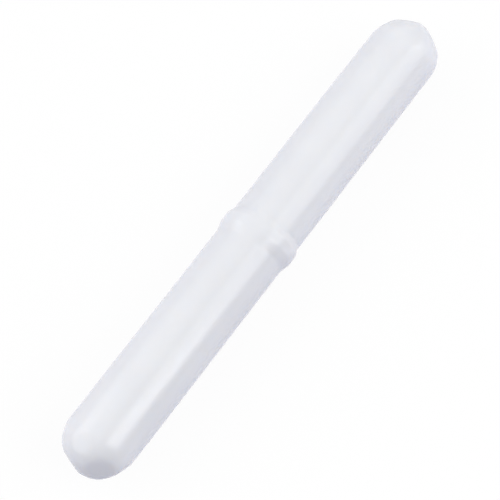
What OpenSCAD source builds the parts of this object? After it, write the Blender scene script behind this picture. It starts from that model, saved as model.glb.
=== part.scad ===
// Magnetic stir bar: a rod magnet sealed inside a moulded fluoropolymer jacket.
// The jacket is one moulding, a round bar with domed ends and a low pivot ring round its middle,
// on which the bar spins. The bar lies along X, and the origin is the centre of its ring.
// All sizes are in millimetres.

/* [Jacket] */
// Overall length, tip to tip
bar_l = 60; // [40:1:80]
// Diameter of the round bar on either side of the ring
bar_d = 7.8; // [7:0.1:12]
// Thickness of jacket around the magnet's cavity
side_wall = 1.1; // [0.8:0.1:2]
// Solid jacket left between the cavity and each tip
end_wall = 5; // [4:0.1:8]

/* [Pivot ring] */
// Height of the ring's crest above the bar
ring_rise = 0.3; // [0.1:0.05:0.6]
// Width of the ring from root to root
ring_w = 3.4; // [2.6:0.1:5]
// Width of the straight land along the ring's crest
ring_land = 0.3; // [0.1:0.1:1]

/* [Magnet] */
// Clearance between the magnet and its cavity, all round
magnet_gap = 0.05; // [0.02:0.01:0.1]
// Chamfer round each end of the magnet
magnet_chamfer = 0.5; // [0.2:0.1:1]

/* [Hidden] */
$fn = 128;

// Bar: the shank is the straight cylinder between the two domes
bar_r = bar_d / 2;
shank_end = bar_l / 2 - bar_r;

// Ring: each flank is an S-curve of two equal arcs, one rolling off the crest's land and one
// filleting into the bar, which meet tangentially halfway up
ring_r = bar_r + ring_rise;
flank_w = (ring_w - ring_land) / 2;
flank_r = (pow(flank_w / 2, 2) + pow(ring_rise / 2, 2)) / ring_rise;
crest_edge = ring_land / 2;
flank_mid = crest_edge + flank_w / 2;
flank_mid_r = bar_r + ring_rise / 2;
ring_root = ring_w / 2;

// Cavity and magnet
cavity_r = bar_r - side_wall;
cavity_l = bar_l - 2 * end_wall;
magnet_r = cavity_r - magnet_gap;
magnet_l = cavity_l - 2 * magnet_gap;

jacket_colour = [0.93, 0.94, 0.97];
magnet_colour = [0.33, 0.34, 0.36];

// Profiles are drawn with the radius along X and the bar's axis along Y

// Rectangle from the axis out to a radius, between two places along the axis
module slab(radius, from, to) {
    translate([0, from])
        square([radius, to - from]);
}

// Quarter circle that closes one end of the bar
module dome_profile() {
    translate([0, shank_end])
        intersection() {
            circle(r = bar_r);
            square(bar_d);
        }
}

// Upper half of one flank: convex, tangent to the crest's land. The slab fills in below a tight arc
module crest_profile() {
    slab(max(bar_r, ring_r - flank_r), crest_edge, flank_mid);
    intersection() {
        translate([ring_r - flank_r, crest_edge])
            circle(r = flank_r);
        slab(2 * ring_r, crest_edge, flank_mid);
    }
}

// Lower half of one flank: a concave fillet, tangent to the bar
module root_profile() {
    difference() {
        slab(flank_mid_r, flank_mid, ring_root);
        translate([bar_r + flank_r, ring_root])
            circle(r = flank_r);
    }
}

// Both ends of the bar share one profile, mirrored at the ring's middle
module half_profile() {
    slab(bar_r, 0, shank_end);
    slab(ring_r, 0, crest_edge);
    dome_profile();
    crest_profile();
    root_profile();
}

// Outside of the jacket as one turned profile
module jacket_profile() {
    half_profile();
    mirror([0, 1])
        half_profile();
}

// Rod with chamfered ends, centred on the origin along Z
module chamfered_rod(radius, length, chamfer) {
    rotate_extrude()
        polygon([
            [0, -length / 2],
            [radius - chamfer, -length / 2],
            [radius, chamfer - length / 2],
            [radius, length / 2 - chamfer],
            [radius - chamfer, length / 2],
            [0, length / 2]
        ]);
}

// One closed moulding: bar, domes and ring, with the sealed cavity inside
module jacket() {
    color(jacket_colour)
        rotate([0, 90, 0])
            difference() {
                rotate_extrude()
                    jacket_profile();
                chamfered_rod(cavity_r, cavity_l, magnet_chamfer);
            }
}

// Rod magnet that fills the cavity
module magnet() {
    color(magnet_colour)
        rotate([0, 90, 0])
            chamfered_rod(magnet_r, magnet_l, magnet_chamfer);
}

jacket();
magnet();
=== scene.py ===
"""Looks of a magnetic stir bar: a white fluoropolymer jacket moulded closed round a rod magnet.

Everything is in metres, in the CAD frame: the bar lies level along X with its ring round the origin,
and the floor is level with the ring's lowest point.
"""
import math

import bmesh
import bpy
from mathutils import Matrix, Vector, noise


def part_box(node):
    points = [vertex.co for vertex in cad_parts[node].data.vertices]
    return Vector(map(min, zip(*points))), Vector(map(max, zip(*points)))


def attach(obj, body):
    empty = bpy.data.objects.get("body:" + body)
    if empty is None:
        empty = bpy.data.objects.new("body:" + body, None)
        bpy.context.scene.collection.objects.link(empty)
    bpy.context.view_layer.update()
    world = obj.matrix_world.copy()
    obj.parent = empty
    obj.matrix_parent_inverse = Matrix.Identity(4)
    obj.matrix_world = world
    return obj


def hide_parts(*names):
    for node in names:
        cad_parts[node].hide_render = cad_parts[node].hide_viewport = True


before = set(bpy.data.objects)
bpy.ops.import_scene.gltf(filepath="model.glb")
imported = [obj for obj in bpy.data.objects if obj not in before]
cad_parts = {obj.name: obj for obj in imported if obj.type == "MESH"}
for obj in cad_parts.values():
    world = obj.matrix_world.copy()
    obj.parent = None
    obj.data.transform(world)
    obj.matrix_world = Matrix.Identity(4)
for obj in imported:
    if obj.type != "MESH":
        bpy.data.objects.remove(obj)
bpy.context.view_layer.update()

MM = 0.001

# ---------------------------------------------------------------- the jacket's true form

JACKET_LOW, JACKET_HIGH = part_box("jacket")
RING_R = JACKET_HIGH.z
RING_RISE = 0.3 * MM
BAR_R = RING_R - RING_RISE
TIP = JACKET_HIGH.x
SHANK_END = TIP - BAR_R

# The ring's two flanks, near towards −X and far towards +X. Each one: where it starts beside the
# middle of the crest, its width along the bar, and the lengths over which it turns off the crest and
# out onto the bar
NEAR_FLANK = (0.15 * MM, 1.60 * MM, 0.40 * MM, 0.40 * MM)
FAR_FLANK = (0.50 * MM, 1.05 * MM, 0.30 * MM, 0.30 * MM)

# The cavity that holds the magnet
CAVITY_R = 2.8 * MM
CAVITY_END = 25.0 * MM
CAVITY_CHAMFER = 0.5 * MM

# How finely the skin is divided: steps round the bar, length of a step along it, steps down each
# flank of the ring and steps over each dome
AROUND = 192
SHANK_STEP = 0.6 * MM
RING_STEPS = 28
DOME_STEPS = 48

# ---------------------------------------------------------------- how this bar departs from true

# The ring sits a little off the middle, towards +X, and askew. Everything within SKEW_REACH of the
# middle moves with it, and the move fades out over SKEW_FADE
RING_SHIFT = 0.27 * MM
RING_SKEW = 0.31 * MM
SKEW_REACH = 1.8 * MM
SKEW_FADE = 3.0 * MM

# The ring is worn low over the bar's upper side. The middle of the worn patch is a turn from straight
# up towards −Y, and its reach is how far it spreads each way, both in degrees. The share is how much
# of the ring's rise is gone at its middle
WORN_MIDDLE = -3.0
WORN_REACH = 26.0
WORN_SHARE = 0.88

# Soft flats left on the ends when they were closed and finished. Each one: the azimuth and elevation
# that it faces, in degrees, and how deep it is sunk into the dome
NEAR_FLATS = (
    (160.0, 60.0, 0.12 * MM),
    (160.0, -5.0, 0.21 * MM),
    (217.0, 22.0, 0.33 * MM),
    (233.0, -12.0, 0.12 * MM),
    (251.0, -12.0, 0.18 * MM),
)
FAR_FLATS = (
    (28.0, 22.0, 0.19 * MM),
    (48.0, 40.0, 0.16 * MM),
    (67.0, 10.0, 0.29 * MM),
    (-33.0, 14.0, 0.20 * MM),
    (-25.0, 74.0, 0.10 * MM),
)

# How sharply a flat meets the dome round it, and the length of bar over which it fades out
FLAT_CRISPNESS = 60.0
FLAT_FADE = 4.0 * MM

# The skin isn't quite even: the depth of its shallow waves, how many there are to a metre, and the
# share of that number along the bar, where they are longer
SKIN_WAVE = 0.012 * MM
SKIN_WAVE_SCALE = 170.0
SKIN_WAVE_ALONG = 0.55

# ---------------------------------------------------------------- values of the materials

# Each noise is given as its periods to a metre, its detail and its roughness
PTFE_CLOUD = (160.0, 2.0, 0.5)
PTFE_DULL = (0.838, 0.848, 0.880)
PTFE_CLEAR = (0.854, 0.864, 0.893)
PTFE_SHEEN = (420.0, 3.0, 0.55)
PTFE_GLOSSIEST = 0.15
PTFE_ROUGHEST = 0.20
PTFE_SWELL = (260.0, 1.0, 0.4)
PTFE_SWELL_DEPTH = 0.02 * MM
PTFE_GRAIN = (5200.0, 3.0, 0.6)
PTFE_GRAIN_DEPTH = 0.0006 * MM
PTFE_IOR = 1.45
PTFE_GLOW_DEPTH = 1.0 * MM
PTFE_GLOW_BY_COLOUR = (1.0, 0.95, 0.9)

CAST_MOTTLE = (900.0, 5.0, 0.6)
CAST_DARK = (0.20, 0.20, 0.21)
CAST_LIGHT = (0.34, 0.34, 0.36)
CAST_SMOOTHEST = 0.42
CAST_ROUGHEST = 0.68
CAST_PIT_SCALE = 1600.0
CAST_PIT_DEPTH = 0.03 * MM
CAST_PIT_STRENGTH = 0.6
CAST_GRAIN = (4200.0, 4.0, 0.6)
CAST_GRAIN_DEPTH = 0.01 * MM
CAST_GRAIN_STRENGTH = 0.8

# ---------------------------------------------------------------- values of the stage

# The floor's colour where only bounced light meets it, its colour where it is seen, and the share of
# plain white in what is seen, which leaves the rest to show the bar's shadow
FLOOR_BOUNCE = (0.40, 0.40, 0.55, 1.0)
FLOOR_SEEN = (0.98, 0.98, 0.98, 1.0)
FLOOR_WHITE_SHARE = 0.94
FLOOR_HALF = 2.0

# The direction in which the room is brightest, in degrees, and its level there and opposite
ROOM_AZIMUTH = 100.1
ROOM_ELEVATION = 31.6
ROOM_BRIGHT = 0.885
ROOM_DARK = 0.156
ROOM_COLOUR = (0.99, 0.99, 1.0, 1.0)

LAMP_DISTANCE = 0.60

# The way the camera looks, turned from +Y towards +X, and how steeply down, both in degrees; its
# distance from the bar; and how far it stands to the right and above of the bar's middle, as it
# sees them
CAMERA_TURN = 53.69
CAMERA_ELEVATION = 70.77
CAMERA_DISTANCE = 214.6 * MM
CAMERA_SIDE = -0.614 * MM
CAMERA_RISE = -0.86 * MM

# The lens and the width of film behind it, in millimetres, and the nearest and farthest it sees
CAMERA_LENS = 150.0
CAMERA_FILM = 36.0
CAMERA_NEAREST = 0.01
CAMERA_FARTHEST = 20.0

# ---------------------------------------------------------------- shared helpers


def direction(azimuth, elevation):
    """Unit vector: azimuth turns from +X towards +Y, elevation is above the horizon."""
    a = math.radians(azimuth)
    e = math.radians(elevation)
    return Vector((math.cos(e) * math.cos(a), math.cos(e) * math.sin(a), math.sin(e)))


def smooth(share):
    """Eases a share that runs evenly from 0 to 1, so that it starts and ends level."""
    return share * share * (3.0 - 2.0 * share)


def show(thing):
    bpy.context.scene.collection.objects.link(thing)


# ---------------------------------------------------------------- jacket


def flank(start, width, crest_turn, foot_turn):
    """Places and radii down one flank of the ring, as (distance from the middle, radius).

    It turns off the crest, falls evenly and turns out onto the bar.
    """
    slope = RING_RISE / (width - crest_turn / 2 - foot_turn / 2)
    points = []
    for i in range(RING_STEPS + 1):
        x = width * i / RING_STEPS
        if x <= crest_turn:
            drop = slope * x**2 / (2 * crest_turn)
        elif x <= width - foot_turn:
            drop = slope * (x - crest_turn / 2)
        else:
            drop = RING_RISE - slope * (width - x) ** 2 / (2 * foot_turn)
        points.append((start + x, RING_R - drop))
    return points


def half_profile(flank_sizes):
    """Outline of the bar from its middle to one tip, as (distance from the middle, radius)."""
    points = [(0.0, RING_R)]
    points += flank(*flank_sizes)
    root = points[-1][0]
    length = SHANK_END - root
    steps = round(length / SHANK_STEP)
    points += [(root + length * i / steps, BAR_R) for i in range(1, steps + 1)]
    for i in range(1, DOME_STEPS + 1):
        turn = math.pi / 2 * i / DOME_STEPS
        points.append((SHANK_END + BAR_R * math.sin(turn), BAR_R * math.cos(turn)))
    return points


def outer_profile():
    """Outline of the whole bar from its −X tip to its +X tip, as (place along X, radius)."""
    near = half_profile(NEAR_FLANK)
    return [(-x, r) for x, r in reversed(near[1:])] + half_profile(FAR_FLANK)


def cavity_profile():
    """Outline of the magnet's cavity from end to end, as (place along X, radius)."""
    face_r = CAVITY_R - CAVITY_CHAMFER
    side_end = CAVITY_END - CAVITY_CHAMFER
    half = [(side_end, CAVITY_R), (CAVITY_END, face_r), (CAVITY_END, 0.0)]
    return [(-x, r) for x, r in reversed(half)] + half


def lathe(bm, profile, outward):
    """Turns a profile that starts and ends on the axis into a closed skin round X.

    Its faces look outwards, or inwards where the skin is the wall of a cavity.
    """
    rings = []
    for x, r in profile[1:-1]:
        ring = []
        for k in range(AROUND):
            turn = 2 * math.pi * k / AROUND
            ring.append(bm.verts.new((x, r * math.cos(turn), r * math.sin(turn))))
        rings.append(ring)
    first = bm.verts.new((profile[0][0], 0.0, 0.0))
    last = bm.verts.new((profile[-1][0], 0.0, 0.0))
    faces = []
    for k in range(AROUND):
        n = (k + 1) % AROUND
        faces.append(bm.faces.new((first, rings[0][n], rings[0][k])))
        faces.append(bm.faces.new((last, rings[-1][k], rings[-1][n])))
        for a, b in zip(rings, rings[1:]):
            faces.append(bm.faces.new((a[k], a[n], b[n], b[k])))
    if not outward:
        bmesh.ops.reverse_faces(bm, faces=faces)


def flattened(way, flats):
    """Radius of a dome in one direction from its centre, where flats are sunk into it with soft edges."""
    total = 1.0
    for azimuth, elevation, depth in flats:
        lean = max(0.0, way.dot(direction(azimuth, elevation)))
        total += (lean * BAR_R / (BAR_R - depth)) ** FLAT_CRISPNESS
    return BAR_R * total ** (-1.0 / FLAT_CRISPNESS)


def press_flats(bm):
    """Sinks the flats into both domes; they run on into the bar beside each dome and fade out there."""
    for v in bm.verts:
        reach = abs(v.co.x)
        if reach <= SHANK_END - FLAT_FADE:
            continue
        side = math.copysign(1.0, v.co.x)
        centre = Vector((side * min(reach, SHANK_END), 0.0, 0.0))
        way = (v.co - centre).normalized()
        share = smooth(min(1.0, (reach - SHANK_END + FLAT_FADE) / FLAT_FADE))
        cut = BAR_R - flattened(way, FAR_FLATS if side > 0 else NEAR_FLATS)
        v.co -= way * cut * share


def wear_ring(bm):
    """Lowers the ring over the bar's upper side; the worn patch has no edge and fades out both ways."""
    for v in bm.verts:
        radius = math.hypot(v.co.y, v.co.z)
        if radius <= BAR_R:
            continue
        turn = math.degrees(math.atan2(-v.co.y, v.co.z)) - WORN_MIDDLE
        kept = 1.0 - WORN_SHARE * math.exp(-((turn / WORN_REACH) ** 2))
        scale = (BAR_R + (radius - BAR_R) * kept) / radius
        v.co.y *= scale
        v.co.z *= scale


def skew_ring(bm):
    """Sets the ring a little off the middle, towards +X, and askew: its −Y side leans towards +X."""
    for v in bm.verts:
        reach = abs(v.co.x)
        if reach >= SKEW_REACH + SKEW_FADE:
            continue
        share = 1.0 - max(0.0, reach - SKEW_REACH) / SKEW_FADE
        side = -v.co.y / RING_R
        v.co.x += (RING_SHIFT + RING_SKEW * side) * share


def wave_skin(bm):
    """Lowers the skin here and there by about a hundredth of a millimetre, as on any moulded bar."""
    on_axis = 0.0001 * MM
    for v in bm.verts:
        radius = math.hypot(v.co.y, v.co.z)
        if radius < on_axis:
            continue
        place = Vector((v.co.x * SKIN_WAVE_ALONG, v.co.y, v.co.z)) * SKIN_WAVE_SCALE
        depth = SKIN_WAVE * (0.5 + 0.5 * noise.noise(place))
        scale = 1.0 - depth / max(radius, BAR_R)
        v.co.y *= scale
        v.co.z *= scale


def make_jacket(material):
    """The whole moulding: outer skin with its ring and flats, and the sealed cavity inside it."""
    bm = bmesh.new()
    lathe(bm, outer_profile(), outward=True)
    press_flats(bm)
    wear_ring(bm)
    skew_ring(bm)
    wave_skin(bm)
    lathe(bm, cavity_profile(), outward=False)
    for f in bm.faces:
        f.smooth = True
    mesh = bpy.data.meshes.new("jacket_skin")
    bm.to_mesh(mesh)
    bm.free()
    piece = bpy.data.objects.new("jacket_skin", mesh)
    piece.data.materials.append(material)
    show(piece)
    return piece


# ---------------------------------------------------------------- materials


def new_material(name):
    material = bpy.data.materials.new(name)
    material.use_nodes = True
    tree = material.node_tree
    tree.nodes.clear()
    out = tree.nodes.new("ShaderNodeOutputMaterial")
    return material, tree, out


def add_noise(tree, coordinates, scale, detail, roughness):
    node = tree.nodes.new("ShaderNodeTexNoise")
    node.inputs["Scale"].default_value = scale
    node.inputs["Detail"].default_value = detail
    node.inputs["Roughness"].default_value = roughness
    tree.links.new(coordinates, node.inputs["Vector"])
    return node.outputs["Fac"]


def add_ramp(tree, fac, low, high, at_low=0.35, at_high=0.65):
    ramp = tree.nodes.new("ShaderNodeValToRGB")
    ramp.color_ramp.elements[0].position = at_low
    ramp.color_ramp.elements[0].color = (*low, 1.0)
    ramp.color_ramp.elements[1].position = at_high
    ramp.color_ramp.elements[1].color = (*high, 1.0)
    tree.links.new(fac, ramp.inputs["Fac"])
    return ramp.outputs["Color"]


def add_range(tree, fac, low, high):
    node = tree.nodes.new("ShaderNodeMapRange")
    node.inputs["To Min"].default_value = low
    node.inputs["To Max"].default_value = high
    tree.links.new(fac, node.inputs["Value"])
    return node.outputs["Result"]


def add_bump(tree, height, distance, strength=1.0, normal=None):
    node = tree.nodes.new("ShaderNodeBump")
    node.inputs["Distance"].default_value = distance
    node.inputs["Strength"].default_value = strength
    tree.links.new(height, node.inputs["Height"])
    if normal is not None:
        tree.links.new(normal, node.inputs["Normal"])
    return node.outputs["Normal"]


def make_ptfe():
    """Sintered PTFE: a dense, waxy white that lets a little light in, with a smooth moulded gloss."""
    material, tree, out = new_material("ptfe_white")
    shader = tree.nodes.new("ShaderNodeBsdfPrincipled")
    place = tree.nodes.new("ShaderNodeTexCoord").outputs["Object"]

    cloud = add_noise(tree, place, *PTFE_CLOUD)
    tree.links.new(add_ramp(tree, cloud, PTFE_DULL, PTFE_CLEAR), shader.inputs["Base Color"])

    sheen = add_noise(tree, place, *PTFE_SHEEN)
    roughness = add_range(tree, sheen, PTFE_GLOSSIEST, PTFE_ROUGHEST)
    tree.links.new(roughness, shader.inputs["Roughness"])

    swell = add_noise(tree, place, *PTFE_SWELL)
    soft = add_bump(tree, swell, PTFE_SWELL_DEPTH)
    grain = add_noise(tree, place, *PTFE_GRAIN)
    fine = add_bump(tree, grain, PTFE_GRAIN_DEPTH, normal=soft)
    tree.links.new(fine, shader.inputs["Normal"])

    shader.inputs["IOR"].default_value = PTFE_IOR
    shader.inputs["Subsurface Weight"].default_value = 1.0
    shader.inputs["Subsurface Radius"].default_value = PTFE_GLOW_BY_COLOUR
    shader.inputs["Subsurface Scale"].default_value = PTFE_GLOW_DEPTH
    tree.links.new(shader.outputs["BSDF"], out.inputs["Surface"])
    return material


def make_cast_magnet():
    """Cast AlNiCo: a dull grey metal with a coarse, slightly pitted skin."""
    material, tree, out = new_material("cast_magnet")
    shader = tree.nodes.new("ShaderNodeBsdfPrincipled")
    place = tree.nodes.new("ShaderNodeTexCoord").outputs["Object"]

    mottle = add_noise(tree, place, *CAST_MOTTLE)
    grey = add_ramp(tree, mottle, CAST_DARK, CAST_LIGHT, at_low=0.3, at_high=0.7)
    tree.links.new(grey, shader.inputs["Base Color"])
    roughness = add_range(tree, mottle, CAST_SMOOTHEST, CAST_ROUGHEST)
    tree.links.new(roughness, shader.inputs["Roughness"])

    pits = tree.nodes.new("ShaderNodeTexVoronoi")
    pits.inputs["Scale"].default_value = CAST_PIT_SCALE
    tree.links.new(place, pits.inputs["Vector"])
    pitted = add_bump(tree, pits.outputs["Distance"], CAST_PIT_DEPTH, CAST_PIT_STRENGTH)
    grain = add_noise(tree, place, *CAST_GRAIN)
    fine = add_bump(tree, grain, CAST_GRAIN_DEPTH, CAST_GRAIN_STRENGTH, pitted)
    tree.links.new(fine, shader.inputs["Normal"])

    shader.inputs["Metallic"].default_value = 1.0
    tree.links.new(shader.outputs["BSDF"], out.inputs["Surface"])
    return material


# ---------------------------------------------------------------- floor and room


def seen_directly(tree):
    """1 where the camera, a reflection or a see-through ray looks, 0 for light that only bounces."""
    rays = tree.nodes.new("ShaderNodeLightPath")
    total = rays.outputs["Is Camera Ray"]
    for name in ("Is Glossy Ray", "Is Transmission Ray"):
        add = tree.nodes.new("ShaderNodeMath")
        add.operation = "ADD"
        add.use_clamp = True
        tree.links.new(total, add.inputs[0])
        tree.links.new(rays.outputs[name], add.inputs[1])
        total = add.outputs["Value"]
    return total


def make_floor_material():
    """White paper that keeps a faint shadow of the bar, and sends only part of its light back up."""
    material, tree, out = new_material("floor_white")
    seen = seen_directly(tree)

    tint = tree.nodes.new("ShaderNodeMix")
    tint.data_type = "RGBA"
    tint.inputs["A"].default_value = FLOOR_BOUNCE
    tint.inputs["B"].default_value = FLOOR_SEEN
    tree.links.new(seen, tint.inputs["Factor"])
    paper = tree.nodes.new("ShaderNodeBsdfDiffuse")
    tree.links.new(tint.outputs["Result"], paper.inputs["Color"])

    white = tree.nodes.new("ShaderNodeEmission")
    white.inputs["Strength"].default_value = 1.0
    share = tree.nodes.new("ShaderNodeMath")
    share.operation = "MULTIPLY"
    share.inputs[1].default_value = FLOOR_WHITE_SHARE
    tree.links.new(seen, share.inputs[0])

    mix = tree.nodes.new("ShaderNodeMixShader")
    tree.links.new(share.outputs["Value"], mix.inputs["Fac"])
    tree.links.new(paper.outputs["BSDF"], mix.inputs[1])
    tree.links.new(white.outputs["Emission"], mix.inputs[2])
    tree.links.new(mix.outputs["Shader"], out.inputs["Surface"])
    return material


def make_floor():
    mesh = bpy.data.meshes.new("floor")
    z = JACKET_LOW.z
    corners = [(-FLOOR_HALF, -FLOOR_HALF, z), (FLOOR_HALF, -FLOOR_HALF, z)]
    corners += [(FLOOR_HALF, FLOOR_HALF, z), (-FLOOR_HALF, FLOOR_HALF, z)]
    mesh.from_pydata(corners, [], [(0, 1, 2, 3)])
    floor = bpy.data.objects.new("floor", mesh)
    floor.data.materials.append(make_floor_material())
    show(floor)


def make_world():
    """Room light that is brightest on one side and fades to dark on the other."""
    world = bpy.data.worlds.new("studio")
    world.use_nodes = True
    bpy.context.scene.world = world
    tree = world.node_tree
    tree.nodes.clear()
    way = tree.nodes.new("ShaderNodeTexCoord").outputs["Generated"]
    facing = tree.nodes.new("ShaderNodeVectorMath")
    facing.operation = "DOT_PRODUCT"
    facing.inputs[1].default_value = direction(ROOM_AZIMUTH, ROOM_ELEVATION)
    tree.links.new(way, facing.inputs[0])
    level = add_range(tree, facing.outputs["Value"], ROOM_DARK, ROOM_BRIGHT)
    room = tree.nodes.new("ShaderNodeBackground")
    room.inputs["Color"].default_value = ROOM_COLOUR
    tree.links.new(level, room.inputs["Strength"])
    out = tree.nodes.new("ShaderNodeOutputWorld")
    tree.links.new(room.outputs["Background"], out.inputs["Surface"])


# ---------------------------------------------------------------- lamps


def softbox(name, away, level, shift, size, roll, radiance):
    """Rectangular lamp in the direction away from the bar, which its face looks back along.

    Level is the direction of its width and shift its place along that. Radiance is how bright it
    looks, where white paper is 1.
    """
    lamp = bpy.data.lights.new(name, "AREA")
    lamp.shape = "RECTANGLE"
    lamp.size = size[0]
    lamp.size_y = size[1]
    lamp.energy = radiance * math.pi * size[0] * size[1]
    holder = bpy.data.objects.new(name, lamp)
    axes = Matrix((level, away.cross(level), away)).transposed()
    turned = axes @ Matrix.Rotation(math.radians(roll), 3, "Z")
    place = away * LAMP_DISTANCE + level * shift
    holder.matrix_world = Matrix.Translation(place) @ turned.to_4x4()
    holder.visible_camera = False
    show(holder)


def beside_bar(name, tilt, shift, size, roll, radiance):
    """Lamp on the −Y side, parallel to the bar but for its roll; tilt is its angle from straight above."""
    away = direction(-90.0, 90.0 - tilt)
    softbox(name, away, Vector((1.0, 0.0, 0.0)), shift, size, roll, radiance)


def facing_bar(name, azimuth, elevation, size, roll, radiance):
    """Lamp in any direction, that looks at the bar's middle and is level but for its roll."""
    away = direction(azimuth, elevation)
    level = Vector((0.0, 0.0, 1.0)).cross(away).normalized()
    softbox(name, away, level, 0.0, size, roll, radiance)


def make_lights():
    """The key and the wide lamp make the streak along the bar, the fill and the back light the rest."""
    beside_bar("key", tilt=43.9, shift=0.021, size=(0.195, 0.367), roll=12.3, radiance=3.04)
    beside_bar("wide", tilt=44.4, shift=0.262, size=(0.414, 0.569), roll=-5.7, radiance=1.96)
    facing_bar("fill", azimuth=120.3, elevation=32.3, size=(0.788, 0.388), roll=-23.9, radiance=1.49)
    facing_bar("back", azimuth=-38.6, elevation=17.9, size=(0.316, 0.789), roll=-20.5, radiance=1.34)


# ---------------------------------------------------------------- camera


def make_camera():
    """Long lens that looks steeply down along the bar, from its −X end."""
    turn = math.radians(CAMERA_TURN)
    rise = math.radians(CAMERA_ELEVATION)
    right = Vector((math.cos(turn), -math.sin(turn), 0.0))
    ahead = Vector((math.sin(turn), math.cos(turn), 0.0))
    back = -math.cos(rise) * ahead + math.sin(rise) * Vector((0.0, 0.0, 1.0))
    up = back.cross(right)
    place = back * CAMERA_DISTANCE + right * CAMERA_SIDE + up * CAMERA_RISE
    lens = bpy.data.cameras.new("camera")
    lens.lens = CAMERA_LENS
    lens.sensor_width = CAMERA_FILM
    lens.clip_start = CAMERA_NEAREST
    lens.clip_end = CAMERA_FARTHEST
    camera = bpy.data.objects.new("camera", lens)
    axes = Matrix((right, up, back)).transposed().to_4x4()
    camera.matrix_world = Matrix.Translation(place) @ axes
    show(camera)
    bpy.context.scene.camera = camera


# ---------------------------------------------------------------- the whole scene


jacket = make_jacket(make_ptfe())
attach(jacket, "root")
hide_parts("jacket")

cast_magnet = make_cast_magnet()
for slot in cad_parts["magnet"].material_slots:
    slot.material = cast_magnet

make_floor()
make_world()
make_lights()
make_camera()
bpy.context.scene.view_settings.view_transform = "Standard"
